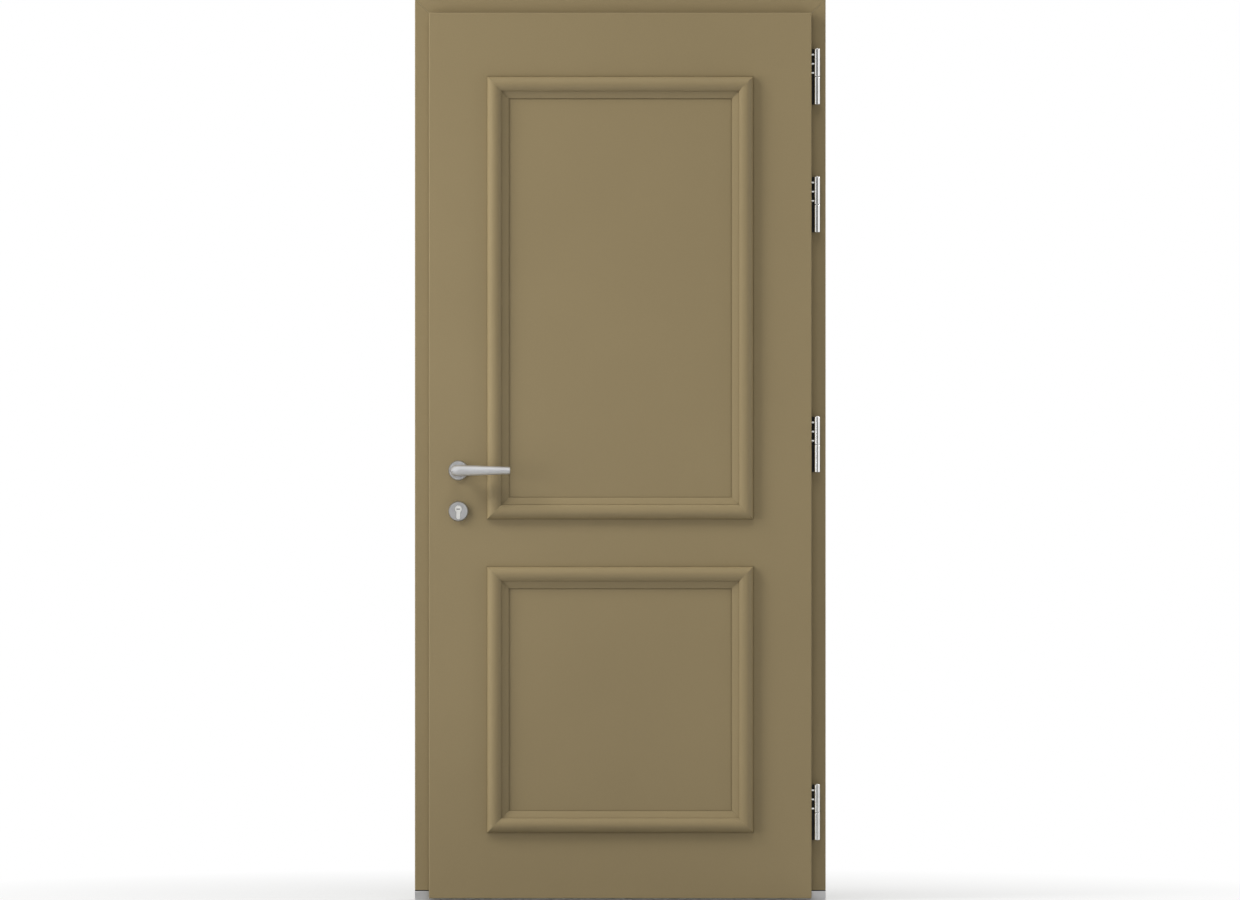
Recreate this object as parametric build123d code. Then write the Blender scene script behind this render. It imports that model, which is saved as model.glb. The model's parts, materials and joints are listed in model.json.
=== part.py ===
from build123d import *
import os
from math import atan2, cos, degrees, radians, sin, tan

# Aluminium front door with its frame, seen from inside: X to the right, Y into the wall, Z up.
# The origin is on the underside of the threshold, halfway along it and halfway through the frame.
# The leaf opens towards the room, -Y, about pins on the right.

# Frame
frame_width = 980.0
frame_height = 2150.0
frame_depth = 70.0
face_reveal = 34.0  # frame face that shows beside and above the leaf
stop_lip = 18.0  # outer stop that the leaf closes against
shell_wall = 1.8
inner_shell_depth = 31.0
frame_break = 18.0  # gap between inner and outer shell, bridged by the thermal strips
edge_radius = 2.0
mitre_gap = 0.4

# Threshold
threshold_height = 22.0
threshold_nose = 5.0
threshold_strip = 3.0
strip_shoulder = 0.7  # the feet of the threshold's strips are this much thinner on each face
foot_seal = 2.0

# Leaf
leaf_thickness = 76.0
lip_depth = 18.0  # thickness of the lip that lies over the frame, with the skin
lip_overlap = 20.0
air_gap = 5.0  # between the leaf's body and the frame's rebate
gasket_gap = 4.0
floor_gap = 5.0
skin = 2.0
skin_radius = 1.6
stile_width = 72.0  # of the leaf's body, behind the lip
leaf_shell_depth = 48.0
leaf_break = 13.0
channel_depth = 3.0  # groove round the leaf's edge for the faceplate
channel_width = 20.4

# Thermal strips and the seats that hold their feet
strip_half = 1.2
strip_foot_half = 2.2
strip_foot = 2.0
strip_seat = 3.6
strip_inset = 6.0

# Gaskets
gasket_bulb = 7.0
gasket_foot = 3.4
gasket_foot_depth = 2.6
gasket_play = 0.3
stop_gasket_set = 7.0  # middle of the stop gasket, back from the stop's edge
lip_gasket_set = 10.0  # middle of the lip gasket, in from the leaf's edge

# Mouldings
moulding_width = 54.0
moulding_side = 3.0
crest_inset = 19.0
crest_height = 18.0
crest_radius = 10.0
fall_angle = 40.0
quirk_inset = 34.5
quirk_width = 1.2
quirk_depth = 1.5
band_height = 9.0
band_edge_height = 4.6
band_edge_radius = 1.5
moulding_wall = 1.6
hollow_slope = 1.2  # walls under the band's edge, for its slope
moulding_margin = 137.5  # from the leaf's edge
upper_moulding_drop = 151.0  # below the leaf's top
upper_moulding_height = 1057.0
moulding_spacing = 111.0
lower_moulding_rise = 156.0  # above the leaf's foot

# Hinges, placed by the joint between leaf barrel and frame barrel
upper_hinge_drops = (152.0, 457.0)  # below the leaf's top
middle_hinge_rise = 26.5  # above the leaf's middle
lowest_hinge_rise = 205.0  # above the leaf's foot
hinge_stand_off = 13.0  # axis to the leaf's edge, and to the frame's face
barrel_radius = 7.0
barrel_length = 65.5
barrel_chamfer = 0.5
pin_radius = 4.0
pin_tip = 1.5
pin_tail = 40.0
pin_chamfer = 0.6
bush_wall = 1.5
bush_flange = 1.0
flange_inset = 0.4
running_fit = 0.05
static_fit = 0.02
stud_radius = 2.4
stud_steps = (8.8, 30.6, 52.4)  # from the joint
stud_bite = 1.2
leaf_stud_length = 46.0
frame_stud_length = 30.0
packer_base = 3.0
packer_wall = 3.6
packer_gap = 1.6
packer_reach = 10.0
packer_width = 17.0

# Lock
lever_height = 1025.0
cylinder_drop = 92.0
backset = 45.0
lock_plane = -20.0
faceplate_thickness = 3.0
faceplate_width = 20.0
faceplate_drop = 625.0  # lower end, below the lever's axis
faceplate_rise = 615.0  # upper end, above the lever's axis
case_thickness = 16.0
case_wall = 1.5
main_case_depth = 66.0
main_case_drop = 140.0
main_case_rise = 40.0
end_case_depth = 40.0
end_case_half = 50.0
end_bolt_drop = 545.0
end_bolt_rise = 535.0
lock_play = 0.5
case_play = 0.2

latch_throw = 12.0
latch_thickness = 12.0
latch_height = 16.0
latch_rise = 20.0  # centre of the latch above the lever's axis
latch_length = 48.0
tail_plate = 4.0
lug_width = 4.0
arm_to_lug = 2.0
latch_nose = 2.0

follower_radius = 8.8
follower_fit = 0.3
arm_reach = 19.0
arm_width = 6.0
arm_thickness = 6.0
spindle_side = 8.0
spindle_reach = 28.0  # past each face of the leaf

bolt_throw = 20.0
main_bolt_height = 24.0
main_bolt_drop = 45.0  # below the lever's axis
main_bolt_length = 45.0
end_bolt_height = 20.0
end_bolt_length = 34.0
bolt_recess = 0.5

rod_width = 12.0
rod_thickness = 3.0
rod_engagement = 10.0

profile_radius = 8.5
profile_drop = 24.5
profile_leg = 10.0
profile_play = 0.5
plug_radius = 6.5
plug_proud = 0.3
cylinder_proud = 1.0
cam_radius = 15.0
cam_sleeve = 8.0
cam_width = 8.0
cam_slot = 10.0
cam_play = 0.5
keyway_width = 8.6
keyway_height = 2.0
keyway_depth = 24.0

# Strike plates
strike_thickness = 2.0
strike_width = 24.0
strike_play = 1.0
strike_margin = 13.0
end_strike_half = 60.0

# Screws
screw_radius = 2.0
screw_head_radius = 3.8
screw_head = 1.8
screw_length = 14.0
screw_fit = 0.05
faceplate_screw_margin = 8.0
strike_screw_margin = 5.7

# Lever and roses
rose_radius = 24.0
rose_thickness = 9.0
rose_bevel = 1.2
rose_face = 2.0
rose_rim = 2.0
rose_play = 0.15
key_rose_drop = 5.3  # middle of the key rose below the plug's axis
collar_proud = 2.0
shank_radius = 9.5
shank_play = 0.3
elbow_radius = 12.8
elbow_reach = 34.0  # where the bend starts, out from the leaf
bend_radius = 14.0
lever_length = 123.0
lever_tip_radius = 9.5
lever_tip_round = 2.5
socket_depth = 30.0
shank_start = 4.0

# Corner cleats and wall anchors
cleat_leg = 70.0
cleat_play = 0.2
anchor_radius = 4.0
anchor_count = 4  # evenly spaced up each jamb
anchor_low_margin = 330.0
anchor_top_margin = 340.0
anchor_plane = -20.0
drill_past = 1.0  # a cut runs this far past the faces that it opens

# Places that follow from these sizes
frame_front = -frame_depth / 2
frame_back = frame_depth / 2
half_frame = frame_width / 2
jamb_width = face_reveal + lip_overlap
inner_shell_back = frame_front + inner_shell_depth
outer_shell_front = inner_shell_back + frame_break

lip_half = half_frame - face_reveal
lip_top = frame_height - face_reveal
lip_width = lip_overlap + air_gap
body_half = lip_half - lip_width
body_top = lip_top - lip_width
body_bottom = floor_gap + lip_width
stile_inner = lip_width + stile_width

lip_back = frame_front - gasket_gap
leaf_front = lip_back - lip_depth
leaf_back = leaf_front + leaf_thickness
stop_front = leaf_back + gasket_gap
shell_front = leaf_front + skin
leaf_shell_back = shell_front + leaf_shell_depth
leaf_outer_front = leaf_shell_back + leaf_break
leaf_outer_back = leaf_back - skin

hinge_x = lip_half + hinge_stand_off
hinge_y = frame_front - hinge_stand_off
middle_hinge = (floor_gap + lip_top) / 2 + middle_hinge_rise
hinge_heights = (*(lip_top - drop for drop in upper_hinge_drops), middle_hinge, floor_gap + lowest_hinge_rise)

lock_x = -body_half + backset
plate_back = -body_half + faceplate_thickness
rod_front = plate_back + case_wall + lock_play
cylinder_height = lever_height - cylinder_drop
faceplate_ends = (lever_height - faceplate_drop, lever_height + faceplate_rise)
main_case_ends = (lever_height - main_case_drop, lever_height + main_case_rise)
end_bolt_heights = (lever_height - end_bolt_drop, lever_height + end_bolt_rise)

rebate_x = half_frame - jamb_width
anchor_pitch = (frame_height - anchor_low_margin - anchor_top_margin) / (anchor_count - 1)
anchor_heights = [anchor_low_margin + anchor_pitch * step for step in range(anchor_count)]


def block(x0, x1, y0, y1, z0, z1):
    centre = Pos((x0 + x1) / 2, (y0 + y1) / 2, (z0 + z1) / 2)
    return centre * Box(abs(x1 - x0), abs(y1 - y0), abs(z1 - z0))


def rod_x(y, z, radius, x0, x1):
    return Pos((x0 + x1) / 2, y, z) * Rot(0, 90, 0) * Cylinder(radius, abs(x1 - x0))


def rod_y(x, z, radius, y0, y1):
    return Pos(x, (y0 + y1) / 2, z) * Rot(90, 0, 0) * Cylinder(radius, abs(y1 - y0))


def rod_z(x, y, radius, z0, z1):
    return Pos(x, y, (z0 + z1) / 2) * Cylinder(radius, abs(z1 - z0))


def area(u0, u1, v0, v1):
    return Pos((u0 + u1) / 2, (v0 + v1) / 2) * Rectangle(abs(u1 - u0), abs(v1 - v0))


def outline(*points):
    return make_face(Polyline(*points, close=True))


def rounded(face, radius, *corners):
    """Round the corners of a flat face that lie at the given points."""
    def near(vertex):
        return any((Vector(*corner) - Vector(vertex)).length < radius / 2 for corner in corners)

    picked = [vertex for vertex in face.vertices() if near(vertex)]
    return fillet(picked, radius)


def bar(section, side, half, bottom, top, mitres=(True, True), gap=mitre_gap):
    """Carry a section, drawn as distance in from the outer edge against Y, along one side of a frame."""
    length = 2 * half if side in ("top", "bottom") else top - bottom
    piece = extrude(section, length, dir=(0, 0, 1))
    if mitres[0]:
        piece = split(piece, Plane((0, 0, 0), z_dir=(1, 0, -1)).offset(-gap / 2), Keep.BOTTOM)
    if mitres[1]:
        piece = split(piece, Plane((0, 0, length), z_dir=(1, 0, 1)).offset(-gap / 2), Keep.BOTTOM)
    places = {
        "left": Plane((-half, 0, bottom), x_dir=(1, 0, 0), z_dir=(0, 0, 1)),
        "right": Plane((half, 0, top), x_dir=(-1, 0, 0), z_dir=(0, 0, -1)),
        "top": Plane((-half, 0, top), x_dir=(0, 0, -1), z_dir=(1, 0, 0)),
        "bottom": Plane((half, 0, bottom), x_dir=(0, 0, 1), z_dir=(-1, 0, 0)),
    }
    return places[side].location * piece


SIDES = ("left", "right", "top", "bottom")


def ring(section, half, bottom, top):
    """A closed seal with welded mitres."""
    left, right, head, foot = (bar(section, side, half, bottom, top, gap=0) for side in SIDES)
    return left + head + right + foot


def strip(u, v0, v1):
    """Section of a thermal strip with a dovetail foot past each end."""
    foot0, foot1 = v0 - strip_foot, v1 + strip_foot
    web0, web1 = u - strip_half, u + strip_half
    wide0, wide1 = u - strip_foot_half, u + strip_foot_half
    return outline(
        (web0, v0), (wide0, foot0), (wide1, foot0), (web1, v0),
        (web1, v1), (wide1, foot1), (wide0, foot1), (web0, v1),
    )


def gasket(u, base, reach):
    """Section of a push-in gasket: foot behind the base line, round bulb in front of it."""
    out = 1 if reach > 0 else -1
    bulb = make_face([
        Line((u - gasket_bulb / 2, base), (u + gasket_bulb / 2, base)),
        ThreePointArc((u + gasket_bulb / 2, base), (u, base + reach), (u - gasket_bulb / 2, base)),
    ])
    return bulb + gasket_groove(u, base, -out)


def gasket_groove(u, base, inward):
    return area(u - gasket_foot / 2, u + gasket_foot / 2, base, base + inward * gasket_foot_depth)


# Frame

frame_strips = (strip_inset, jamb_width - strip_inset)
stop_gasket_inset = jamb_width + stop_lip - stop_gasket_set


def frame_strip_sections():
    return [strip(u, inner_shell_back, outer_shell_front) for u in frame_strips]


def inner_shell_section():
    shell = area(0, jamb_width, frame_front, inner_shell_back)
    shell = rounded(shell, edge_radius, (0, frame_front), (jamb_width, frame_front))
    hollow_depth = frame_front + shell_wall, inner_shell_back - strip_seat
    shell -= area(shell_wall, jamb_width - shell_wall, *hollow_depth)
    for section in frame_strip_sections():
        shell -= section
    return shell


def outer_shell_section():
    shell = area(0, jamb_width, outer_shell_front, frame_back)
    shell += area(0, jamb_width + stop_lip, stop_front, frame_back)
    shell = rounded(shell, edge_radius, (0, frame_back), (jamb_width + stop_lip, frame_back))
    hollow_depth = outer_shell_front + strip_seat, frame_back - shell_wall
    shell -= area(shell_wall, jamb_width - shell_wall, *hollow_depth)
    lip_hollow = stop_front + gasket_foot_depth + shell_wall
    shell -= area(jamb_width, jamb_width + stop_lip - shell_wall, lip_hollow, frame_back - shell_wall)
    shell -= gasket_groove(stop_gasket_inset, stop_front, 1)
    for section in frame_strip_sections():
        shell -= section
    return shell


def frame_member(section, side):
    """Jambs are square at the foot and mitred into the head."""
    mitres = {"left": (False, True), "right": (True, False), "top": (True, True)}[side]
    return bar(section, side, half_frame, threshold_height + foot_seal, frame_height, mitres)


def anchor_holes(side):
    """Holes for the wall screws, through both walls of a jamb's inner shell."""
    ends = side * (rebate_x - drill_past), side * (half_frame + drill_past)
    return [rod_x(anchor_plane, z, anchor_radius, *ends) for z in anchor_heights]


def corner_cleat(side):
    """Die-cast angle that joins a jamb to the head inside the inner shells."""
    inset = shell_wall + cleat_play
    thick = jamb_width - 2 * inset
    x, z = half_frame - inset, frame_height - inset
    angle = make_face(Plane.XZ * Polyline(
        (x, z), (x - inset - cleat_leg, z), (x - inset - cleat_leg, z - thick),
        (x - thick, z - thick), (x - thick, z - inset - cleat_leg), (x, z - inset - cleat_leg), close=True,
    ))
    depth = inner_shell_depth - shell_wall - strip_seat - 2 * cleat_play
    piece = Pos(0, frame_front + inset, 0) * extrude(angle, depth, dir=(0, 1, 0))
    return piece if side > 0 else mirror(piece, about=Plane.YZ)


def threshold_profile(section):
    plane = Plane((-half_frame, 0, 0), x_dir=(0, 1, 0), z_dir=(1, 0, 0))
    return plane.location * extrude(section, frame_width, dir=(0, 0, 1))


def threshold_strip_section(z0, z1):
    """Flat strip, flush with the threshold's surface, with square feet in both profiles."""
    web = area(inner_shell_back, outer_shell_front, z0, z1)
    inset = strip_shoulder
    feet = area(inner_shell_back - strip_foot, outer_shell_front + strip_foot, z0 + inset, z1 - inset)
    return web + feet


threshold_strips = ((0.0, threshold_strip), (threshold_height - threshold_strip, threshold_height))


def threshold_inner():
    section = area(frame_front, inner_shell_back, 0, threshold_height)
    section = rounded(section, edge_radius, (frame_front, threshold_height))
    hollow_height = shell_wall, threshold_height - shell_wall
    section -= area(frame_front + shell_wall, inner_shell_back - strip_seat, *hollow_height)
    for ends in threshold_strips:
        section -= threshold_strip_section(*ends)
    return threshold_profile(section)


def threshold_outer():
    """Outer threshold profile with its sloping nose, drawn as Y against Z."""
    top = threshold_height
    section = outline(
        (outer_shell_front, 0), (frame_back, 0), (frame_back, top - threshold_nose),
        (frame_back - threshold_nose, top), (outer_shell_front, top),
    )
    hollow_front, hollow_back = outer_shell_front + strip_seat, frame_back - shell_wall
    hollow_top = top - shell_wall
    section -= outline(
        (hollow_front, shell_wall), (hollow_back, shell_wall), (hollow_back, hollow_top - threshold_nose),
        (frame_back - threshold_nose, hollow_top - shell_wall), (hollow_front, hollow_top - shell_wall),
    )
    for ends in threshold_strips:
        section -= threshold_strip_section(*ends)
    return threshold_profile(section)


def foot_seal_plate(side):
    ends = threshold_height, threshold_height + foot_seal
    plate = block(rebate_x, half_frame, frame_front, frame_back, *ends)
    plate += block(rebate_x - stop_lip, half_frame, stop_front, frame_back, *ends)
    return plate if side > 0 else mirror(plate, about=Plane.YZ)


def stop_gasket():
    section = gasket(stop_gasket_inset, stop_front, -(gasket_gap - gasket_play))
    bottom = threshold_height + foot_seal
    left = bar(section, "left", half_frame, bottom, frame_height, (False, True), 0)
    right = bar(section, "right", half_frame, bottom, frame_height, (True, False), 0)
    head = bar(section, "top", half_frame, bottom, frame_height, (True, True), 0)
    return left + head + right


# Leaf

leaf_strips = (lip_width + strip_inset, stile_inner - strip_inset)
channel_front = lock_plane - channel_width / 2
channel_back = lock_plane + channel_width / 2
pocket_start = lip_width + channel_depth + shell_wall


def leaf_strip_sections():
    return [strip(u, leaf_shell_back, leaf_outer_front) for u in leaf_strips]


def leaf_shell_section():
    shell = area(0, stile_inner, shell_front, lip_back)
    shell += area(lip_width, stile_inner, shell_front, leaf_shell_back)
    inner_front = shell_front + shell_wall
    shell -= area(shell_wall, lip_width - shell_wall, inner_front, lip_back - gasket_foot_depth - shell_wall)
    shell -= area(pocket_start, stile_inner - shell_wall, inner_front, leaf_shell_back - strip_seat)
    shell -= area(lip_width, lip_width + channel_depth, channel_front, channel_back)
    shell -= gasket_groove(lip_gasket_set, lip_back, -1)
    for section in leaf_strip_sections():
        shell -= section
    return shell


def leaf_outer_section():
    shell = area(lip_width, stile_inner, leaf_outer_front, leaf_outer_back)
    hollow_depth = leaf_outer_front + strip_seat, leaf_outer_back - shell_wall
    shell -= area(lip_width + shell_wall, stile_inner - shell_wall, *hollow_depth)
    for section in leaf_strip_sections():
        shell -= section
    return shell


def leaf_bar(section, side):
    return bar(section, side, lip_half, floor_gap, lip_top)


def inner_skin():
    sheet = block(-lip_half, lip_half, leaf_front, shell_front, floor_gap, lip_top)
    return fillet(sheet.faces().sort_by(Axis.Y)[0].edges(), skin_radius)


def outer_skin():
    sheet = block(-body_half, body_half, leaf_outer_back, leaf_back, body_bottom, body_top)
    return fillet(sheet.faces().sort_by(Axis.Y)[-1].edges(), skin_radius)


def core():
    half = lip_half - stile_inner
    return block(-half, half, shell_front, leaf_outer_back, floor_gap + stile_inner, lip_top - stile_inner)


def lip_gasket():
    section = gasket(lip_gasket_set, lip_back, gasket_gap - gasket_play)
    return ring(section, lip_half, floor_gap, lip_top)


# Mouldings

fall_start_inset = crest_inset + crest_radius * sin(radians(fall_angle))
fall_start_height = crest_height - crest_radius * (1 - cos(radians(fall_angle)))
quirk_height = fall_start_height - tan(radians(fall_angle)) * (quirk_inset - fall_start_inset)
quirk_floor = quirk_height - quirk_depth
band_inset = quirk_inset + quirk_width


rise = crest_height - moulding_side
rise_radius = (crest_inset**2 + rise**2) / (2 * rise)  # of the arc that is level at the crest
rise_angle = degrees(atan2(crest_inset, rise_radius - rise))


def rise_arc(radius):
    return CenterArc((crest_inset, crest_height - rise_radius), radius, 90, rise_angle)


def moulding_outline():
    """Arc up to the crest, a fall to the quirk, then the sloping band beside the panel."""
    crest = CenterArc((crest_inset, crest_height - crest_radius), crest_radius, 90 - fall_angle, fall_angle)
    rest = Polyline(
        (fall_start_inset, fall_start_height), (quirk_inset, quirk_height), (quirk_inset, quirk_floor),
        (band_inset, quirk_floor), (band_inset, band_height), (moulding_width, band_edge_height),
        (moulding_width, 0), (0, 0), (0, moulding_side),
    )
    face = make_face([rise_arc(rise_radius), crest, rest])
    return rounded(face, band_edge_radius, (moulding_width, band_edge_height))


def moulding_hollow():
    wall = moulding_wall
    low = quirk_floor - wall
    arc = rise_arc(rise_radius - wall)
    foot = arc @ 1
    rest = Polyline(
        arc @ 0, (quirk_inset - wall, low), (band_inset + wall, low),
        (moulding_width - wall, band_edge_height - hollow_slope * wall), (moulding_width - wall, wall),
        (foot.X, wall), foot,
    )
    return make_face([arc, rest])


def moulding_section(face_y, outward):
    section = moulding_outline() - moulding_hollow()
    if outward < 0:
        section = mirror(section, about=Plane.XZ)
    return Pos(0, face_y) * section


upper_moulding_top = lip_top - upper_moulding_drop
upper_moulding_bottom = upper_moulding_top - upper_moulding_height
lower_moulding_top = upper_moulding_bottom - moulding_spacing
lower_moulding_bottom = floor_gap + lower_moulding_rise
moulding_half = lip_half - moulding_margin
mouldings = {
    "upper": (upper_moulding_bottom, upper_moulding_top),
    "lower": (lower_moulding_bottom, lower_moulding_top),
}


def moulding_bars(face_y, outward, name):
    section = moulding_section(face_y, outward)
    return {side: bar(section, side, moulding_half, *mouldings[name]) for side in SIDES}


# Hinges

def leaf_barrel(z):
    bottom = z + bush_flange / 2
    bush_radius = pin_radius + running_fit + bush_wall
    barrel = rod_z(hinge_x, hinge_y, barrel_radius, bottom, bottom + barrel_length)
    barrel = chamfer(barrel.edges().filter_by(GeomType.CIRCLE), barrel_chamfer)
    barrel -= rod_z(hinge_x, hinge_y, bush_radius + static_fit, bottom, bottom + barrel_length)
    for step in stud_steps:
        end = hinge_x - barrel_radius
        bite = end + stud_bite + static_fit
        barrel -= rod_x(hinge_y, z + step, stud_radius + static_fit, end - drill_past, bite)
    return barrel


def frame_barrel(z):
    top = z - bush_flange / 2
    barrel = rod_z(hinge_x, hinge_y, barrel_radius, top - barrel_length, top)
    barrel = chamfer(barrel.edges().filter_by(GeomType.CIRCLE), barrel_chamfer)
    barrel -= rod_z(hinge_x, hinge_y, pin_radius + static_fit, top - pin_tail, top)
    for step in stud_steps:
        end = hinge_y + barrel_radius
        bite = end - stud_bite - static_fit
        barrel -= rod_y(hinge_x, z - step, stud_radius + static_fit, bite, end + drill_past)
    return barrel


def hinge_pin(z):
    bottom = z - bush_flange / 2 - pin_tail
    top = z + bush_flange / 2 + barrel_length + pin_tip
    pin = rod_z(hinge_x, hinge_y, pin_radius, bottom, top)
    return chamfer(pin.edges().filter_by(GeomType.CIRCLE), pin_chamfer)


def hinge_bush(z):
    bottom = z + bush_flange / 2
    inner = pin_radius + running_fit
    bush = rod_z(hinge_x, hinge_y, inner + bush_wall, bottom, bottom + barrel_length)
    bush += rod_z(hinge_x, hinge_y, barrel_radius - flange_inset, z - bush_flange / 2, bottom)
    return bush - rod_z(hinge_x, hinge_y, inner, z - bush_flange / 2, bottom + barrel_length)


def leaf_stud(z):
    start = hinge_x - barrel_radius + stud_bite
    return rod_x(hinge_y, z, stud_radius, start - leaf_stud_length, start)


def frame_stud(z):
    start = hinge_y + barrel_radius - stud_bite
    return rod_y(hinge_x, z, stud_radius, start, start + frame_stud_length)


def packer(z):
    """Angle behind the barrels: base on the frame's face, wall up beside the leaf's edge."""
    left = lip_half + packer_gap
    half = barrel_length + bush_flange / 2
    base_front = frame_front - packer_base
    base = block(left, left + packer_width, base_front, frame_front, z - half, z + half)
    wall = block(left, left + packer_wall, frame_front - packer_reach, base_front, z - half, z + half)
    angle = base + wall
    ends = base_front - drill_past, frame_front + drill_past
    for step in stud_steps:
        angle -= rod_y(hinge_x, z - step, stud_radius + static_fit, *ends)
    return angle


# Lock

def screw(x, y, z, side):
    """Countersunk screw along X with its head's face at x; side is the way its shank points."""
    cone = Pos(x + side * screw_head / 2, y, z) * Rot(0, side * 90, 0)
    head = cone * Cone(screw_head_radius, screw_radius, screw_head)
    return head + rod_x(y, z, screw_radius, x + side * screw_head, x + side * screw_length)


def screw_hole(x, y, z, side):
    cone = Pos(x + side * screw_head / 2, y, z) * Rot(0, side * 90, 0)
    head = cone * Cone(screw_head_radius + screw_fit, screw_radius + screw_fit, screw_head)
    end = screw_length + drill_past
    return head + rod_x(y, z, screw_radius + screw_fit, x + side * screw_head, x + side * end)


def faceplate_screw_heights():
    low, high = faceplate_ends
    return low + faceplate_screw_margin, high - faceplate_screw_margin


def bolt_heights():
    """Height of each dead bolt's middle, and its own height."""
    main = (lever_height - main_bolt_drop, main_bolt_height)
    return main, *((z, end_bolt_height) for z in end_bolt_heights)


def bolt_opening(x0, x1, z, height, play):
    half_y = latch_thickness / 2 + play
    half_z = height / 2 + play
    return block(x0, x1, lock_plane - half_y, lock_plane + half_y, z - half_z, z + half_z)


def lock_openings(x0, x1, play):
    """The openings that the latch and the dead bolts pass through, between two X planes."""
    cuts = [bolt_opening(x0, x1, z, height, play) for z, height in bolt_heights()]
    return [*cuts, bolt_opening(x0, x1, lever_height + latch_rise, latch_height, play)]


def faceplate():
    half = faceplate_width / 2
    plate = block(-body_half, plate_back, lock_plane - half, lock_plane + half, *faceplate_ends)
    cuts = lock_openings(-body_half - drill_past, plate_back + drill_past, lock_play)
    cuts += [screw_hole(-body_half, lock_plane, z, 1) for z in faceplate_screw_heights()]
    return cut_all(plate, cuts)


def case_box(depth, bottom, top):
    half = case_thickness / 2
    back = plate_back + depth
    shell = block(plate_back, back, lock_plane - half, lock_plane + half, bottom, top)
    half -= case_wall
    return shell - block(
        plate_back + case_wall, back - case_wall, lock_plane - half, lock_plane + half,
        bottom + case_wall, top - case_wall,
    )


def rod_slot(z):
    """Slot in the end wall of a case for a drive rod."""
    half = rod_width / 2 + lock_play
    return block(
        rod_front - lock_play, rod_front + rod_thickness + lock_play, lock_plane - half, lock_plane + half,
        z - 2 * case_wall, z + 2 * case_wall,
    )


def lock_cases():
    main = case_box(main_case_depth, *main_case_ends)
    ends = lock_plane - case_thickness, lock_plane + case_thickness
    main -= rod_y(lock_x, lever_height, follower_radius + follower_fit, *ends)
    main -= profile_bar(profile_play, *ends)
    for z in main_case_ends:
        main -= rod_slot(z)
    cases = [main]
    for z, inward in zip(end_bolt_heights, (1, -1)):
        case = case_box(end_case_depth, z - end_case_half, z + end_case_half)
        cases.append(case - rod_slot(z + inward * end_case_half))
    openings = lock_openings(plate_back - drill_past, plate_back + case_wall + drill_past, lock_play)
    return [cut_all(case, openings) for case in cases]


def cut_all(piece, cuts):
    for cut in cuts:
        piece -= cut
    return piece


def case_pockets():
    """Slots milled through the channel floor of the lock stile for the three cases."""
    half = case_thickness / 2 + case_play
    ends = [main_case_ends, *((z - end_case_half, z + end_case_half) for z in end_bolt_heights)]
    front, back = plate_back - drill_past, plate_back + shell_wall + drill_past
    return [
        block(front, back, lock_plane - half, lock_plane + half, low - case_play, high + case_play)
        for low, high in ends
    ]


def latch_bolt():
    """Bevelled head, body, and a tail plate that ends in the lug which the follower's arm pushes."""
    tip = -body_half - latch_throw
    z = lever_height + latch_rise
    front, back = lock_plane - latch_thickness / 2, lock_plane + latch_thickness / 2
    body_end = tip + latch_length
    plan = outline(
        (tip, front), (body_end, front), (body_end, back), (-body_half - bolt_recess, back),
        (tip, front + latch_nose),
    )
    bolt = Pos(0, 0, z - latch_height / 2) * extrude(plan, latch_height, dir=(0, 0, 1))
    lug = lock_x + arm_width / 2 + arm_to_lug
    half = latch_height / 2
    bolt += block(body_end, lug + lug_width, front, front + tail_plate, z - half, z + half)
    return bolt + block(lug, lug + lug_width, front, back, z - half, z + half)


def follower():
    half = case_thickness / 2
    hub = rod_y(lock_x, lever_height, follower_radius, lock_plane - half, lock_plane + half)
    arm_back = lock_plane + latch_thickness / 2 - lock_play
    arm = block(
        lock_x - arm_width / 2, lock_x + arm_width / 2, arm_back - arm_thickness, arm_back,
        lever_height, lever_height + arm_reach,
    )
    return hub + arm - spindle_hole(lock_plane - half - drill_past, lock_plane + half + drill_past)


def spindle_hole(y0, y1):
    half = spindle_side / 2 + static_fit
    return block(lock_x - half, lock_x + half, y0, y1, lever_height - half, lever_height + half)


def spindle():
    half = spindle_side / 2
    return block(
        lock_x - half, lock_x + half, leaf_front - spindle_reach, leaf_back + spindle_reach,
        lever_height - half, lever_height + half,
    )


def dead_bolts():
    tip = -body_half + bolt_recess
    half = latch_thickness / 2
    lengths = (main_bolt_length, end_bolt_length, end_bolt_length)
    return [
        block(tip, tip + length, lock_plane - half, lock_plane + half, z - height / 2, z + height / 2)
        for (z, height), length in zip(bolt_heights(), lengths)
    ]


def drive_rods():
    """Flat rods behind the faceplate, from the main case into each end case; they rise by the throw."""
    half = rod_width / 2
    low_case, high_case = end_bolt_heights[0] + end_case_half, end_bolt_heights[1] - end_case_half
    lower = (low_case - rod_engagement - bolt_throw, main_case_ends[0] + rod_engagement)
    upper = (main_case_ends[1] - rod_engagement, high_case + rod_engagement)
    return [
        block(rod_front, rod_front + rod_thickness, lock_plane - half, lock_plane + half, *ends)
        for ends in (lower, upper)
    ]


def profile_bar(play, y0, y1):
    """Bar of the cylinder's profile: a round upper part with a narrow leg below."""
    leg = profile_leg / 2 + play
    leg_centre = profile_drop - profile_leg / 2
    face = Circle(profile_radius + play) + Pos(0, -leg_centre / 2) * Rectangle(2 * leg, leg_centre)
    face += Pos(0, -leg_centre) * Circle(leg)
    return Pos(lock_x, y0, cylinder_height) * extrude(Plane.XZ * face, y1 - y0, dir=(0, 1, 0))


def cylinder_ends():
    proud = rose_thickness + cylinder_proud
    return leaf_front - proud, leaf_back + proud


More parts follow.
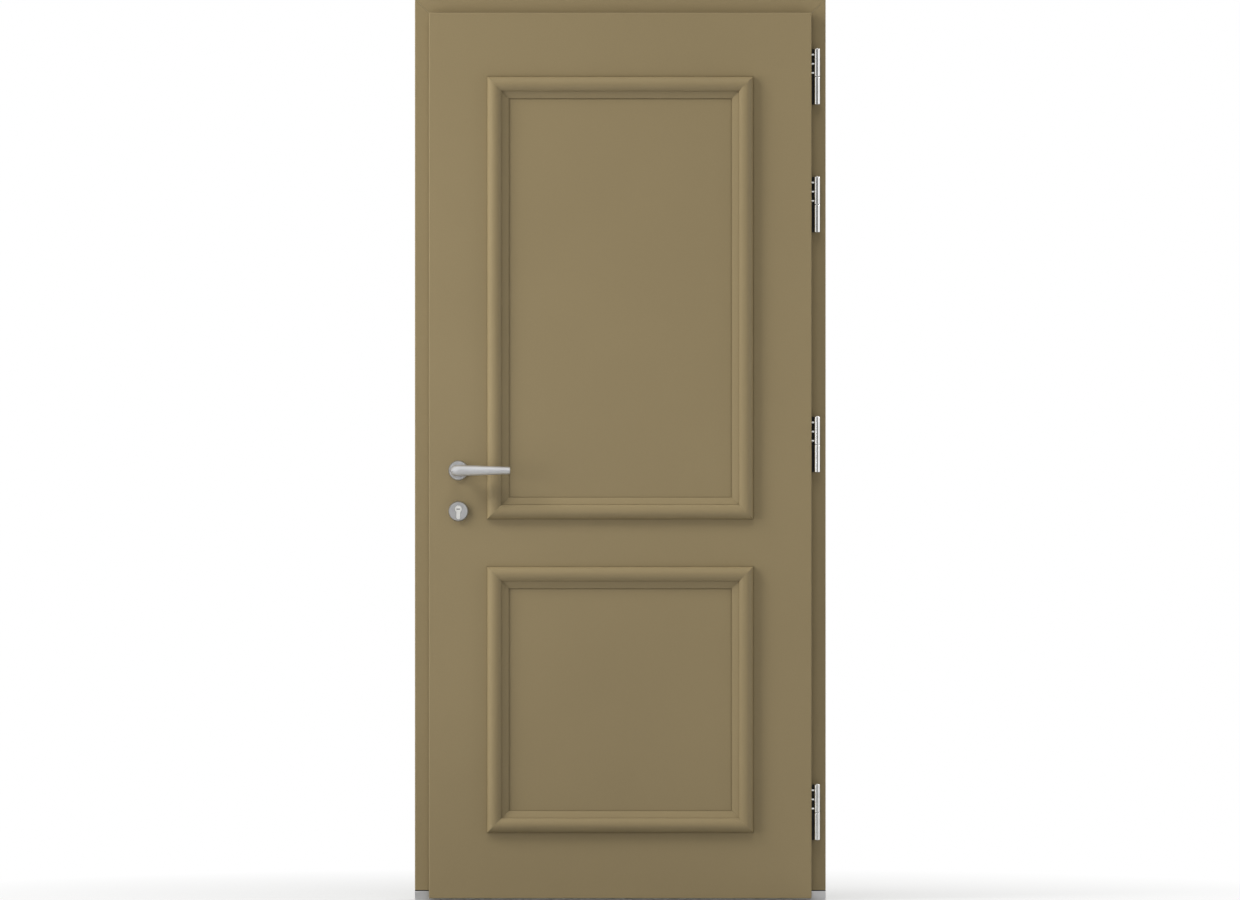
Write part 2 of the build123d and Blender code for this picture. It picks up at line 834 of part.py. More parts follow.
def cylinder_housing():
    front, back = cylinder_ends()
    housing = profile_bar(0, front, back)
    bore_ends = front - drill_past, back + drill_past
    housing -= rod_y(lock_x, cylinder_height, plug_radius + running_fit, *bore_ends)
    half = cam_slot / 2
    wide = profile_radius + drill_past
    floor = cylinder_height - cam_radius - cam_play
    return housing - block(
        lock_x - wide, lock_x + wide, lock_plane - half, lock_plane + half, floor, cylinder_height + wide
    )


def key_plug():
    front, back = cylinder_ends()
    front, back = front - plug_proud, back + plug_proud
    plug = rod_y(lock_x, cylinder_height, plug_radius, front, back)
    half = cam_slot / 2 - cam_play
    plug += rod_y(lock_x, cylinder_height, cam_sleeve, lock_plane - half, lock_plane + half)
    plug += block(
        lock_x - cam_width / 2, lock_x + cam_width / 2, lock_plane - half, lock_plane + half,
        cylinder_height - cam_radius, cylinder_height,
    )
    for start, end in ((front - drill_past, front + keyway_depth), (back - keyway_depth, back + drill_past)):
        plug -= block(
            lock_x - keyway_width / 2, lock_x + keyway_width / 2, start, end,
            cylinder_height - keyway_height / 2, cylinder_height + keyway_height / 2,
        )
    return plug


def main_strike_ends():
    low = lever_height - main_bolt_drop - main_bolt_height / 2 - strike_margin
    high = lever_height + latch_rise + latch_height / 2 + strike_margin
    return low, high


def strike_ends():
    return [main_strike_ends(), *((z - end_strike_half, z + end_strike_half) for z in end_bolt_heights)]


def strike_screw_heights():
    return [z for low, high in strike_ends() for z in (low + strike_screw_margin, high - strike_screw_margin)]


def strike_plates():
    """Plates on the rebate of the lock jamb with openings for the latch and the dead bolts."""
    half = strike_width / 2
    face = -rebate_x + strike_thickness
    cuts = lock_openings(-rebate_x - drill_past, face + drill_past, strike_play)
    cuts += [screw_hole(face, lock_plane, z, -1) for z in strike_screw_heights()]
    plates = [block(-rebate_x, face, lock_plane - half, lock_plane + half, *ends) for ends in strike_ends()]
    return [cut_all(plate, cuts) for plate in plates]


def strike_screws():
    face = -rebate_x + strike_thickness
    return [screw(face, lock_plane, z, -1) for z in strike_screw_heights()]


# Lever and roses, drawn outwards from the leaf's face along +Y, then placed on either face

def on_face(piece, side):
    if side == "inside":
        return Pos(0, leaf_front, 0) * mirror(piece, about=Plane.XZ)
    return Pos(0, leaf_back, 0) * piece


def rose(z):
    """Turned cover with a bevelled rim, hollow behind around its bore."""
    cover = rod_y(lock_x, z, rose_radius, 0, rose_thickness)
    cover = chamfer(cover.edges().filter_by(GeomType.CIRCLE).sort_by(Axis.Y)[-1], rose_bevel)
    hollow = rod_y(lock_x, z, rose_radius - rose_rim, 0, rose_thickness - rose_face)
    return cover, hollow


def lever_rose():
    cover, hollow = rose(lever_height)
    bore = shank_radius + shank_play
    hollow -= rod_y(lock_x, lever_height, bore + rose_rim, 0, rose_thickness)
    return cover - hollow - rod_y(lock_x, lever_height, bore, -drill_past, rose_thickness + drill_past)


def key_rose():
    cover, hollow = rose(cylinder_height - key_rose_drop)
    return cover - hollow - profile_bar(rose_play, -drill_past, rose_thickness + drill_past)


def lever():
    """Round shank, quarter bend and tapering grip."""
    collar_end = rose_thickness + collar_proud
    collar = rod_y(lock_x, lever_height, shank_radius, shank_start, collar_end)
    flare_length = elbow_reach - collar_end
    flare = Pos(lock_x, collar_end + flare_length / 2, lever_height) * Rot(-90, 0, 0)
    collar += flare * Cone(shank_radius, elbow_radius, flare_length)
    end = Plane((lock_x, elbow_reach, lever_height), z_dir=(0, 1, 0)) * Circle(elbow_radius)
    bend = revolve(end, Axis((lock_x + bend_radius, elbow_reach, lever_height), (0, 0, -1)), 90)
    grip_length = lever_length - bend_radius
    grip = Cone(elbow_radius, lever_tip_radius, grip_length)
    grip = fillet(grip.edges().filter_by(GeomType.CIRCLE).sort_by(Axis.Z)[-1], lever_tip_round)
    grip_centre = lock_x + bend_radius + grip_length / 2
    grip = Pos(grip_centre, elbow_reach + bend_radius, lever_height) * Rot(0, 90, 0) * grip
    return collar + bend + grip - spindle_hole(0, socket_depth)


# Holes through the leaf

def handle_holes():
    front, back = leaf_front - drill_past, leaf_back + drill_past
    return [
        rod_y(lock_x, lever_height, shank_radius + shank_play, front, back),
        profile_bar(profile_play, front, back),
    ]


def hinge_leaf_holes():
    ends = hinge_x - leaf_stud_length - 2 * barrel_radius, hinge_x
    radius = stud_radius + static_fit
    return [rod_x(hinge_y, z + step, radius, *ends) for z in hinge_heights for step in stud_steps]


def hinge_frame_holes():
    ends = frame_front - drill_past, frame_front + shell_wall + drill_past
    radius = stud_radius + static_fit
    return [rod_y(hinge_x, z - step, radius, *ends) for z in hinge_heights for step in stud_steps]


def save(name, *pieces):
    solids = [solid for piece in pieces for solid in piece.solids()]
    shape = solids[0] if len(solids) == 1 else Compound(children=solids)
    export_step(shape, f"parts/{name}.step")


def save_frame():
    shell = inner_shell_section()
    wall = (-rebate_x - shell_wall - drill_past, -rebate_x + drill_past)
    lock_cuts = [*anchor_holes(-1), *lock_openings(*wall, strike_play)]
    lock_cuts += [rod_x(lock_plane, z, screw_radius + screw_fit, *wall) for z in strike_screw_heights()]
    save("lock_jamb", cut_all(frame_member(shell, "left"), lock_cuts))
    save("hinge_jamb", cut_all(frame_member(shell, "right"), [*anchor_holes(1), *hinge_frame_holes()]))
    save("head_member", frame_member(shell, "top"))
    sides = ("left", "right", "top")
    save("frame_outer_shells", *(frame_member(outer_shell_section(), side) for side in sides))
    strips = [frame_member(section, side) for section in frame_strip_sections() for side in sides]
    strips += [threshold_profile(threshold_strip_section(*ends)) for ends in threshold_strips]
    save("frame_thermal_strips", *strips)
    save("frame_corner_cleats", corner_cleat(-1), corner_cleat(1))
    save("threshold_inner_profile", threshold_inner())
    save("threshold_outer_profile", threshold_outer())
    save("jamb_foot_seals", foot_seal_plate(-1), foot_seal_plate(1))
    save("frame_stop_gasket", stop_gasket())
    save("strike_plates", *strike_plates())
    save("strike_screws", *strike_screws())


def save_hinges():
    for number, z in enumerate(hinge_heights, 1):
        save(f"hinge_{number}_frame_barrel", frame_barrel(z))
        save(f"hinge_{number}_leaf_barrel", leaf_barrel(z))
    save("hinge_pins", *(hinge_pin(z) for z in hinge_heights))
    save("hinge_bushes", *(hinge_bush(z) for z in hinge_heights))
    save("hinge_leaf_studs", *(leaf_stud(z + step) for z in hinge_heights for step in stud_steps))
    save("hinge_frame_studs", *(frame_stud(z - step) for z in hinge_heights for step in stud_steps))
    save("hinge_packers", *(packer(z) for z in hinge_heights))


def save_leaf():
    shell = leaf_shell_section()
    screws = [screw_hole(-body_half, lock_plane, z, 1) for z in faceplate_screw_heights()]
    save("lock_stile", cut_all(leaf_bar(shell, "left"), [*handle_holes(), *case_pockets(), *screws]))
    save("hinge_stile", cut_all(leaf_bar(shell, "right"), hinge_leaf_holes()))
    save("top_rail", leaf_bar(shell, "top"))
    save("bottom_rail", leaf_bar(shell, "bottom"))
    outer = {side: leaf_bar(leaf_outer_section(), side) for side in SIDES}
    outer["left"] = cut_all(outer["left"], handle_holes())
    save("leaf_outer_shells", *outer.values())
    strips = [leaf_bar(section, side) for section in leaf_strip_sections() for side in SIDES]
    save("leaf_thermal_strips", *strips)
    save("leaf_inner_skin", cut_all(inner_skin(), handle_holes()))
    save("leaf_outer_skin", cut_all(outer_skin(), handle_holes()))
    save("insulation_core", core())
    save("leaf_lip_gasket", lip_gasket())
    for name in mouldings:
        for side, piece in moulding_bars(leaf_front, -1, name).items():
            save(f"{name}_moulding_{side}", piece)
    save("outside_mouldings", *(p for name in mouldings for p in moulding_bars(leaf_back, 1, name).values()))


def save_lock():
    save("lock_faceplate", faceplate())
    save("faceplate_screws", *(screw(-body_half, lock_plane, z, 1) for z in faceplate_screw_heights()))
    save("lock_cases", *lock_cases())
    save("cylinder_housing", cylinder_housing())
    for side in ("inside", "outside"):
        save(f"{side}_lever_rose", on_face(lever_rose(), side))
        save(f"{side}_key_rose", on_face(key_rose(), side))
        save(f"{side}_lever", on_face(lever(), side))
    save("spindle", spindle())
    save("lock_follower", follower())
    save("latch_bolt", latch_bolt())
    save("key_plug", key_plug())
    save("dead_bolts", *dead_bolts())
    save("drive_rods", *drive_rods())


os.makedirs("parts", exist_ok=True)
save_frame()
save_hinges()
save_leaf()
save_lock()
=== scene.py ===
import json
import bmesh
import bpy
import numpy as np
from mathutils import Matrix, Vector


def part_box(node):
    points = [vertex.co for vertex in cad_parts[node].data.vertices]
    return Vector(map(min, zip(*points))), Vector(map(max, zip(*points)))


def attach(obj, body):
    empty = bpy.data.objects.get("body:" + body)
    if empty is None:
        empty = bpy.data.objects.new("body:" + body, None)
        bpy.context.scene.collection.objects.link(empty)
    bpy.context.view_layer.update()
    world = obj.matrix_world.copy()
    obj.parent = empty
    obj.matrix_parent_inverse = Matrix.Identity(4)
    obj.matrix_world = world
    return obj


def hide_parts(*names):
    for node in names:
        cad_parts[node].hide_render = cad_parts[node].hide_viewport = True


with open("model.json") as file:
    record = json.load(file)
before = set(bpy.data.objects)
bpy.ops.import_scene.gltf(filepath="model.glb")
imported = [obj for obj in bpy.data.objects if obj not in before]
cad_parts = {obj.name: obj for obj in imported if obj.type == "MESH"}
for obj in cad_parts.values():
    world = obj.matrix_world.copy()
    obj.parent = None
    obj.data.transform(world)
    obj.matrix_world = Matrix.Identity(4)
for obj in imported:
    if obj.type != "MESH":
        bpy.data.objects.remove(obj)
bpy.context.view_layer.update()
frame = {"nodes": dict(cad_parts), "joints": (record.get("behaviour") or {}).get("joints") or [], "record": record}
nodes = frame["nodes"]
joints = {joint["name"]: joint for joint in frame["joints"]}
mm = 0.001
print("frame loaded,", len(nodes), "nodes")


# meshes from whole arrays of points

meshLook = {"sharpAngle": 32, "mergeDistance": 1e-6, "cornerSteps": 5}


def gridQuads(rows, cols, wrapRows=False, wrapCols=False):
    # quad i, j joins grid points i, j / i, j+1 / i+1, j+1 / i+1, j
    # the last row or column may wrap to the first
    i = np.arange(rows if wrapRows else rows - 1)[:, None]
    j = np.arange(cols if wrapCols else cols - 1)[None, :]
    nextI, nextJ = (i + 1) % rows, (j + 1) % cols
    corners = (i * cols + j, i * cols + nextJ, nextI * cols + nextJ, nextI * cols + j)
    return np.stack(np.broadcast_arrays(*corners), axis=-1).reshape(-1, 4).tolist()


def joinParts(parts):
    # one list of points, with each part's faces moved up by the number of points before it
    points = np.concatenate([np.reshape(some, (-1, 3)) for some, _ in parts])
    starts = np.cumsum([0] + [np.size(some) // 3 for some, _ in parts])
    faces = [[corner + start for corner in face] for (_, some), start in zip(parts, starts) for face in some]
    return points, faces


def addPiece(name, points, faces, material, body, slot, replaced):
    mesh = bpy.data.meshes.new(name)
    mesh.from_pydata(np.reshape(points, (-1, 3)).tolist(), [], faces)
    work = bmesh.new()
    work.from_mesh(mesh)
    bmesh.ops.remove_doubles(work, verts=work.verts, dist=meshLook["mergeDistance"])
    bmesh.ops.recalc_face_normals(work, faces=work.faces)
    work.to_mesh(mesh)
    work.free()
    mesh.shade_smooth()
    mesh.set_sharp_from_angle(angle=np.radians(meshLook["sharpAngle"]))
    mesh.materials.append(material)
    piece = bpy.data.objects.new(name, mesh)
    flats = piece.modifiers.new("flats", "WEIGHTED_NORMAL")  # large faces shade flat up to their round edges
    flats.keep_sharp = True
    bpy.context.scene.collection.objects.link(piece)
    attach(piece, body)
    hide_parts(replaced)


def roundCorners(outline, radii, steps=meshLook["cornerSteps"]):
    # each corner C of an open outline becomes (1-t)^2 A + 2t(1-t) C + t^2 B
    # A and B lie one radius away from C on its two sides
    corner, radius = np.array(outline[1:-1], float), np.array(radii, float)[:, None]
    before, after = np.array(outline[:-2], float) - corner, np.array(outline[2:], float) - corner
    start = corner + before / np.linalg.norm(before, axis=1, keepdims=True) * radius
    end = corner + after / np.linalg.norm(after, axis=1, keepdims=True) * radius
    t = np.linspace(0, 1, steps)[None, :, None]
    curve = (1 - t) ** 2 * start[:, None] + 2 * t * (1 - t) * corner[:, None] + t**2 * end[:, None]
    return np.concatenate([[outline[0]], curve.reshape(-1, 2), [outline[-1]]])


def arcPoints(centre, radius, fromAngle, toAngle, steps):
    # centre + radius (cos a, sin a)
    a = np.radians(np.linspace(fromAngle, toAngle, steps))
    return np.stack([centre[0] + radius * np.cos(a), centre[1] + radius * np.sin(a)], axis=1)


# procedural finishes

def startFinish(name, color, metallic, roughness, specular=0.5):
    material = bpy.data.materials.new(name)
    material.use_nodes = True
    tree = material.node_tree
    shader = tree.nodes["Principled BSDF"]
    shader.inputs["Base Color"].default_value = (*color, 1)
    shader.inputs["Metallic"].default_value = metallic
    shader.inputs["Roughness"].default_value = roughness
    shader.inputs["Specular IOR Level"].default_value = specular
    return material, tree, shader


def objectPlace(tree, scale=(1, 1, 1), centre=(0, 0, 0)):
    # Object coordinates, (p - centre) * scale
    place = tree.nodes.new("ShaderNodeTexCoord")
    move = tree.nodes.new("ShaderNodeMapping")
    move.inputs["Location"].default_value = [-c * s for c, s in zip(centre, scale)]
    move.inputs["Scale"].default_value = scale
    tree.links.new(place.outputs["Object"], move.inputs["Vector"])
    return move.outputs["Vector"]


def noiseOf(tree, vector, scale, detail=2.0, rough=0.5):
    noise = tree.nodes.new("ShaderNodeTexNoise")
    noise.inputs["Scale"].default_value = scale
    noise.inputs["Detail"].default_value = detail
    noise.inputs["Roughness"].default_value = rough
    tree.links.new(vector, noise.inputs["Vector"])
    return noise.outputs["Fac"]


def cellsOf(tree, scale):
    # distance from the middle of the cell that a point is in
    cells = tree.nodes.new("ShaderNodeTexVoronoi")
    cells.inputs["Scale"].default_value = scale
    tree.links.new(objectPlace(tree), cells.inputs["Vector"])
    return cells.outputs["Distance"]


def splitOf(tree, vector):
    split = tree.nodes.new("ShaderNodeSeparateXYZ")
    tree.links.new(vector, split.inputs[0])
    return split.outputs


def lengthOf(tree, vector):
    length = tree.nodes.new("ShaderNodeVectorMath")
    length.operation = "LENGTH"
    tree.links.new(vector, length.inputs[0])
    return length.outputs["Value"]


def mathOf(tree, operation, *values):
    # each value is a socket or a number
    work = tree.nodes.new("ShaderNodeMath")
    work.operation = operation
    for value, socket in zip(values, work.inputs):
        if isinstance(value, (int, float)):
            socket.default_value = value
        else:
            tree.links.new(value, socket)
    return work.outputs[0]


def ringsOf(tree, vector, frequency):
    # one-dimensional noise of the distance from the Y axis, for lathe marks
    parts = splitOf(tree, vector)
    flat = tree.nodes.new("ShaderNodeCombineXYZ")
    tree.links.new(parts["X"], flat.inputs["X"])
    tree.links.new(parts["Z"], flat.inputs["Y"])
    rings = tree.nodes.new("ShaderNodeTexNoise")
    rings.noise_dimensions = "1D"
    rings.inputs["Scale"].default_value = frequency
    rings.inputs["Detail"].default_value = 3.0
    tree.links.new(lengthOf(tree, flat.outputs[0]), rings.inputs["W"])
    return rings.outputs["Fac"]


def stretch(tree, value, toLow, toHigh, fromLow=0.3, fromHigh=0.7):
    # straight line from (fromLow, toLow) to (fromHigh, toHigh), level past both ends
    spread = tree.nodes.new("ShaderNodeMapRange")
    ends = {"From Min": fromLow, "From Max": fromHigh, "To Min": toLow, "To Max": toHigh}
    for label, number in ends.items():
        spread.inputs[label].default_value = number
    tree.links.new(value, spread.inputs["Value"])
    return spread.outputs["Result"]


def blendColors(tree, factor, first, second):
    mix = tree.nodes.new("ShaderNodeMix")
    mix.data_type = "RGBA"
    tree.links.new(factor, mix.inputs[0])
    for socket, color in ((mix.inputs[6], first), (mix.inputs[7], second)):
        if isinstance(color, tuple):
            socket.default_value = (*color, 1)
        else:
            tree.links.new(color, socket)
    return mix.outputs[2]


def shaded(color, share):
    return tuple(min(1.0, channel * share) for channel in color)


def patchyColor(tree, noise, color, shades):
    # from the darker to the lighter share of one colour
    darker, lighter = shades
    return blendColors(tree, stretch(tree, noise, 0, 1), shaded(color, darker), shaded(color, lighter))


def addBump(tree, shader, heights):
    # each pair is a noise and how high it stands in metres, laid over the one before
    normal = None
    for value, height in heights:
        bump = tree.nodes.new("ShaderNodeBump")
        bump.inputs["Distance"].default_value = height
        tree.links.new(value, bump.inputs["Height"])
        if normal:
            tree.links.new(normal, bump.inputs["Normal"])
        normal = bump.outputs["Normal"]
    tree.links.new(normal, shader.inputs["Normal"])


# noise scales are per metre, depths in metres, shades the darkest and lightest share of a colour

powderLook = {
    "color": (0.247, 0.192, 0.101), "specular": 0.4, "roughness": (0.48, 0.62),
    "mottle": 2.6, "mottleShades": (0.975, 1.025),  # broad patches
    "grain": 950.0, "grainShades": (0.93, 1.07),
    "peel": 260.0, "peelDepth": 0.00003,  # orange peel
    "pits": 1500.0, "pitDepth": 0.00001,
}


def powderCoat(name, look):
    material, tree, shader = startFinish(name, look["color"], 0.0, 0.5, look["specular"])
    place = objectPlace(tree)
    mottle = noiseOf(tree, place, look["mottle"], 3.0)
    grain = noiseOf(tree, place, look["grain"], 2.0)
    peel = noiseOf(tree, place, look["peel"], 2.0)
    pits = noiseOf(tree, place, look["pits"], 1.0)
    dark, light = [
        patchyColor(tree, grain, look["color"], [patch * share for share in look["grainShades"]])
        for patch in look["mottleShades"]
    ]
    tree.links.new(blendColors(tree, stretch(tree, mottle, 0, 1), dark, light), shader.inputs["Base Color"])
    tree.links.new(stretch(tree, grain, *look["roughness"]), shader.inputs["Roughness"])
    addBump(tree, shader, [(peel, look["peelDepth"]), (pits, look["pitDepth"])])
    return material


cloudLook = {
    "linedScale": 24.0, "linedShades": (0.93, 1.04),
    "turnedScale": 60.0, "turnedShades": (0.92, 1.05),
}
metalLooks = {
    "satinGrip": {
        "color": (0.74, 0.74, 0.75), "roughness": (0.46, 0.58), "lines": (14, 900, 900), "depth": 0.000006,
    },
    "mill": {
        "color": (0.74, 0.74, 0.75), "roughness": (0.36, 0.52), "lines": (5, 900, 900), "depth": 0.000008,
    },
    "turnedSteel": {
        "color": (0.93, 0.93, 0.92), "roughness": (0.16, 0.26), "lines": (40, 40, 2200), "depth": 0.000003,
    },
    "brushedSteel": {
        "color": (0.70, 0.70, 0.69), "roughness": (0.24, 0.40), "lines": (1100, 1100, 9), "depth": 0.000005,
    },
    "studSteel": {
        "color": (0.84, 0.84, 0.83), "roughness": (0.16, 0.30), "lines": (1500, 300, 300), "depth": 0.000004,
    },
    "cleatAlloy": {
        "color": (0.46, 0.46, 0.47), "roughness": (0.45, 0.62), "lines": (300, 300, 300), "depth": 0.00002,
    },
}


def linedMetal(name):
    # noise drawn out along the axis with the smallest number, for brushing, drawing and turning marks
    look = metalLooks[name]
    material, tree, shader = startFinish(name, look["color"], 1.0, 0.35)
    lines = noiseOf(tree, objectPlace(tree, look["lines"]), 1.0, 3.0, 0.6)
    cloud = noiseOf(tree, objectPlace(tree), cloudLook["linedScale"], 3.0)
    color = patchyColor(tree, cloud, look["color"], cloudLook["linedShades"])
    tree.links.new(color, shader.inputs["Base Color"])
    tree.links.new(stretch(tree, lines, *look["roughness"]), shader.inputs["Roughness"])
    addBump(tree, shader, [(lines, look["depth"])])
    return material


latheLook = {"rings": 3600.0, "depth": 0.0000012}
satinColor = (0.57, 0.57, 0.575)
turnedLooks = {
    "satinLeverRose": {"color": satinColor, "roughness": (0.40, 0.54)},
    "satinKeyRose": {"color": satinColor, "roughness": (0.42, 0.56)},
    "nickelBrass": {"color": (0.90, 0.89, 0.86), "roughness": (0.34, 0.46)},
}


def turnedMetal(name, centre):
    # lathe rings about an axis through the centre, along Y
    look = turnedLooks[name]
    material, tree, shader = startFinish(name, look["color"], 1.0, 0.35)
    place = objectPlace(tree, centre=centre)
    rings = ringsOf(tree, place, latheLook["rings"])
    cloud = noiseOf(tree, place, cloudLook["turnedScale"], 3.0)
    color = patchyColor(tree, cloud, look["color"], cloudLook["turnedShades"])
    tree.links.new(color, shader.inputs["Base Color"])
    tree.links.new(stretch(tree, rings, *look["roughness"]), shader.inputs["Roughness"])
    addBump(tree, shader, [(rings, latheLook["depth"])])
    return material


plugLook = {
    "color": (0.88, 0.87, 0.84), "roughness": (0.30, 0.42), "paintedKeywayShade": (0.02, 0.018, 0.015),
    "shadeFrom": 0.3 * mm, "shadeTo": 1.2 * mm,  # depth in the keyway where the painted shade starts and where it is full
}


def plugBrass(name, look, centre, faces):
    # nickel at both ends, with painted shade inside the keyway standing in for its shadow, darker the deeper it
    # lies: the depth is the smaller distance behind the two end faces
    material, tree, shader = startFinish(name, look["color"], 1.0, 0.4)
    rings = ringsOf(tree, objectPlace(tree, centre=centre), latheLook["rings"])
    height = splitOf(tree, objectPlace(tree))["Y"]
    behindFront = mathOf(tree, "MULTIPLY_ADD", height, 1, -faces[0])
    behindBack = mathOf(tree, "MULTIPLY_ADD", height, -1, faces[1])
    depth = mathOf(tree, "MINIMUM", behindFront, behindBack)
    # painted shade: the keyway's colour goes dark with depth, in place of the shadow inside it
    dark = stretch(tree, depth, 0, 1, look["shadeFrom"], look["shadeTo"])
    tree.links.new(blendColors(tree, dark, look["color"], look["paintedKeywayShade"]), shader.inputs["Base Color"])
    tree.links.new(stretch(tree, rings, *look["roughness"]), shader.inputs["Roughness"])
    addBump(tree, shader, [(rings, latheLook["depth"])])
    return material


zincLook = {
    "color": (0.46, 0.47, 0.48), "darkCrystal": 0.86, "crystals": 320.0, "crystalEdge": 0.8,
    "depth": 0.000006,
    "filmColor": (0.52, 0.48, 0.36), "film": 35.0, "filmShare": 0.5, "roughness": (0.32, 0.52),
}


def zincPlate(name, look):
    # crystals of the plating, each a little lighter or darker, under a thin yellowish film
    material, tree, shader = startFinish(name, look["color"], 1.0, 0.4)
    crystals = cellsOf(tree, look["crystals"])
    film = noiseOf(tree, objectPlace(tree), look["film"], 4.0)
    edge = stretch(tree, crystals, 0, 1, 0.0, look["crystalEdge"])
    plate = blendColors(tree, edge, shaded(look["color"], look["darkCrystal"]), look["color"])
    filmed = blendColors(tree, stretch(tree, film, 0, look["filmShare"]), plate, look["filmColor"])
    tree.links.new(filmed, shader.inputs["Base Color"])
    tree.links.new(stretch(tree, film, *look["roughness"]), shader.inputs["Roughness"])
    addBump(tree, shader, [(crystals, look["depth"])])
    return material


rubberLook = {
    "color": (0.014, 0.014, 0.014), "specular": 0.35, "chalkColor": (0.030, 0.029, 0.028), "chalk": 180.0,
    "drag": (700, 700, 12), "roughness": (0.62, 0.82), "depth": 0.00002,
}


def blackRubber(name, look):
    # extruded rubber, slightly chalky, with fine drag lines
    material, tree, shader = startFinish(name, look["color"], 0.0, 0.7, look["specular"])
    chalk = noiseOf(tree, objectPlace(tree), look["chalk"], 4.0)
    drag = noiseOf(tree, objectPlace(tree, look["drag"]), 1.0, 2.0)
    chalky = blendColors(tree, stretch(tree, chalk, 0, 1), look["color"], look["chalkColor"])
    tree.links.new(chalky, shader.inputs["Base Color"])
    tree.links.new(stretch(tree, chalk, *look["roughness"]), shader.inputs["Roughness"])
    addBump(tree, shader, [(drag, look["depth"])])
    return material


polyamideLook = {
    "color": (0.012, 0.012, 0.013), "specular": 0.4, "fleckColor": (0.045, 0.045, 0.044),
    "fibres": (2400, 900, 260), "fleckFrom": 0.58, "fleckTo": 0.75,
    "spark": 1300.0, "roughness": (0.40, 0.60), "depth": 0.00001,
}


def blackPolyamide(name, look):
    # moulded polyamide with short glass fibres that show as pale flecks
    material, tree, shader = startFinish(name, look["color"], 0.0, 0.5, look["specular"])
    fibres = noiseOf(tree, objectPlace(tree, look["fibres"]), 1.0, 2.0)
    spark = noiseOf(tree, objectPlace(tree), look["spark"], 2.0)
    fleck = stretch(tree, fibres, 0, 1, look["fleckFrom"], look["fleckTo"])
    tree.links.new(blendColors(tree, fleck, look["color"], look["fleckColor"]), shader.inputs["Base Color"])
    tree.links.new(stretch(tree, spark, *look["roughness"]), shader.inputs["Roughness"])
    addBump(tree, shader, [(spark, look["depth"])])
    return material


foamLook = {
    "color": (0.70, 0.67, 0.56), "specular": 0.2, "darkCell": 0.82, "cells": 900.0, "cellEdge": 0.8,
    "roughness": (0.95, 0.80), "depth": 0.0002,
}


def rigidFoam(name, look):
    # closed cells, paler at their walls
    material, tree, shader = startFinish(name, look["color"], 0.0, 0.9, look["specular"])
    cells = cellsOf(tree, look["cells"])
    edge = stretch(tree, cells, 0, 1, 0.0, look["cellEdge"])
    color = blendColors(tree, edge, shaded(look["color"], look["darkCell"]), look["color"])
    tree.links.new(color, shader.inputs["Base Color"])
    rough = stretch(tree, cells, *look["roughness"], 0.0, look["cellEdge"])
    tree.links.new(rough, shader.inputs["Roughness"])
    addBump(tree, shader, [(cells, look["depth"])])
    return material


leverAxis = Vector(joints["lever_turn"]["pos_m"])
plugAxis = Vector(joints["key_turn"]["pos_m"])
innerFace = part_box("leaf_inner_skin")[0].y  # the leaf's face towards the room
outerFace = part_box("leaf_outer_skin")[1].y
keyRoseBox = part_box("inside_key_rose")
keyRoseAxis = (keyRoseBox[0] + keyRoseBox[1]) / 2
plugFaces = [corner.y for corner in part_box("key_plug")]

finishes = {
    "coat": powderCoat("powderCoat", powderLook),
    "grip": linedMetal("satinGrip"),
    "leverRose": turnedMetal("satinLeverRose", leverAxis),
    "keyRose": turnedMetal("satinKeyRose", keyRoseAxis),
    "mill": linedMetal("mill"),
    "cleat": linedMetal("cleatAlloy"),
    "barrel": linedMetal("turnedSteel"),
    "stud": linedMetal("studSteel"),
    "plate": linedMetal("brushedSteel"),
    "zinc": zincPlate("zincPlate", zincLook),
    "nickel": turnedMetal("nickelBrass", plugAxis),
    "plug": plugBrass("keyPlugBrass", plugLook, plugAxis, plugFaces),
    "rubber": blackRubber("sealRubber", rubberLook),
    "polyamide": blackPolyamide("blackPolyamide", polyamideLook),
    "foam": rigidFoam("rigidFoam", foamLook),
}

finishOfSlot = {
    "powder_coat": "coat", "satin_aluminium": "grip", "mill_aluminium": "mill", "polished_steel": "plate",
    "zinc_steel": "zinc", "nickel_brass": "nickel", "black_rubber": "rubber", "black_polyamide": "polyamide",
    "foam": "foam",
}
finishOfNode = {
    "frame_corner_cleats": "cleat", "hinge_pins": "barrel", "hinge_leaf_studs": "stud",
    "hinge_frame_studs": "stud", "key_plug": "plug",
}


def finishCadNodes():
    for part in frame["record"]["subparts"]:
        name = part["node"]
        finish = finishOfNode.get(name, finishOfSlot[part["material_slot"]])
        for place in nodes[name].material_slots:
            place.material = finishes[finish]


finishCadNodes()
print("finishes made:", len(finishes))


# mouldings: one section carried along four mitred bars

mouldingLook = {
    "width": 54 * mm, "side": 3 * mm, "crestInset": 19 * mm, "crestHeight": 18 * mm, "fallRadius": 24 * mm,
    "fallEnd": 35.4 * mm, "step": 3.2 * mm, "grooveWidth": 0.7 * mm, "grooveDepth": 0.5 * mm,
    "grooveWall": 0.2,  # share of the groove's width that each of its walls takes up
    "bandEdgeHeight": 2.6 * mm, "mitreGap": 0.12 * mm, "arcSteps": 20,
    # shadow groove along both feet, behind a low lip
    "lipWidth": 0.45 * mm, "lipHeight": 0.8 * mm, "footGap": 0.85 * mm, "footFloor": 0.1 * mm,
    "rounding": {"fallEnd": 0.25 * mm, "groove": 0.12 * mm, "bandStart": 0.2 * mm, "bandEdge": 0.35 * mm},
}


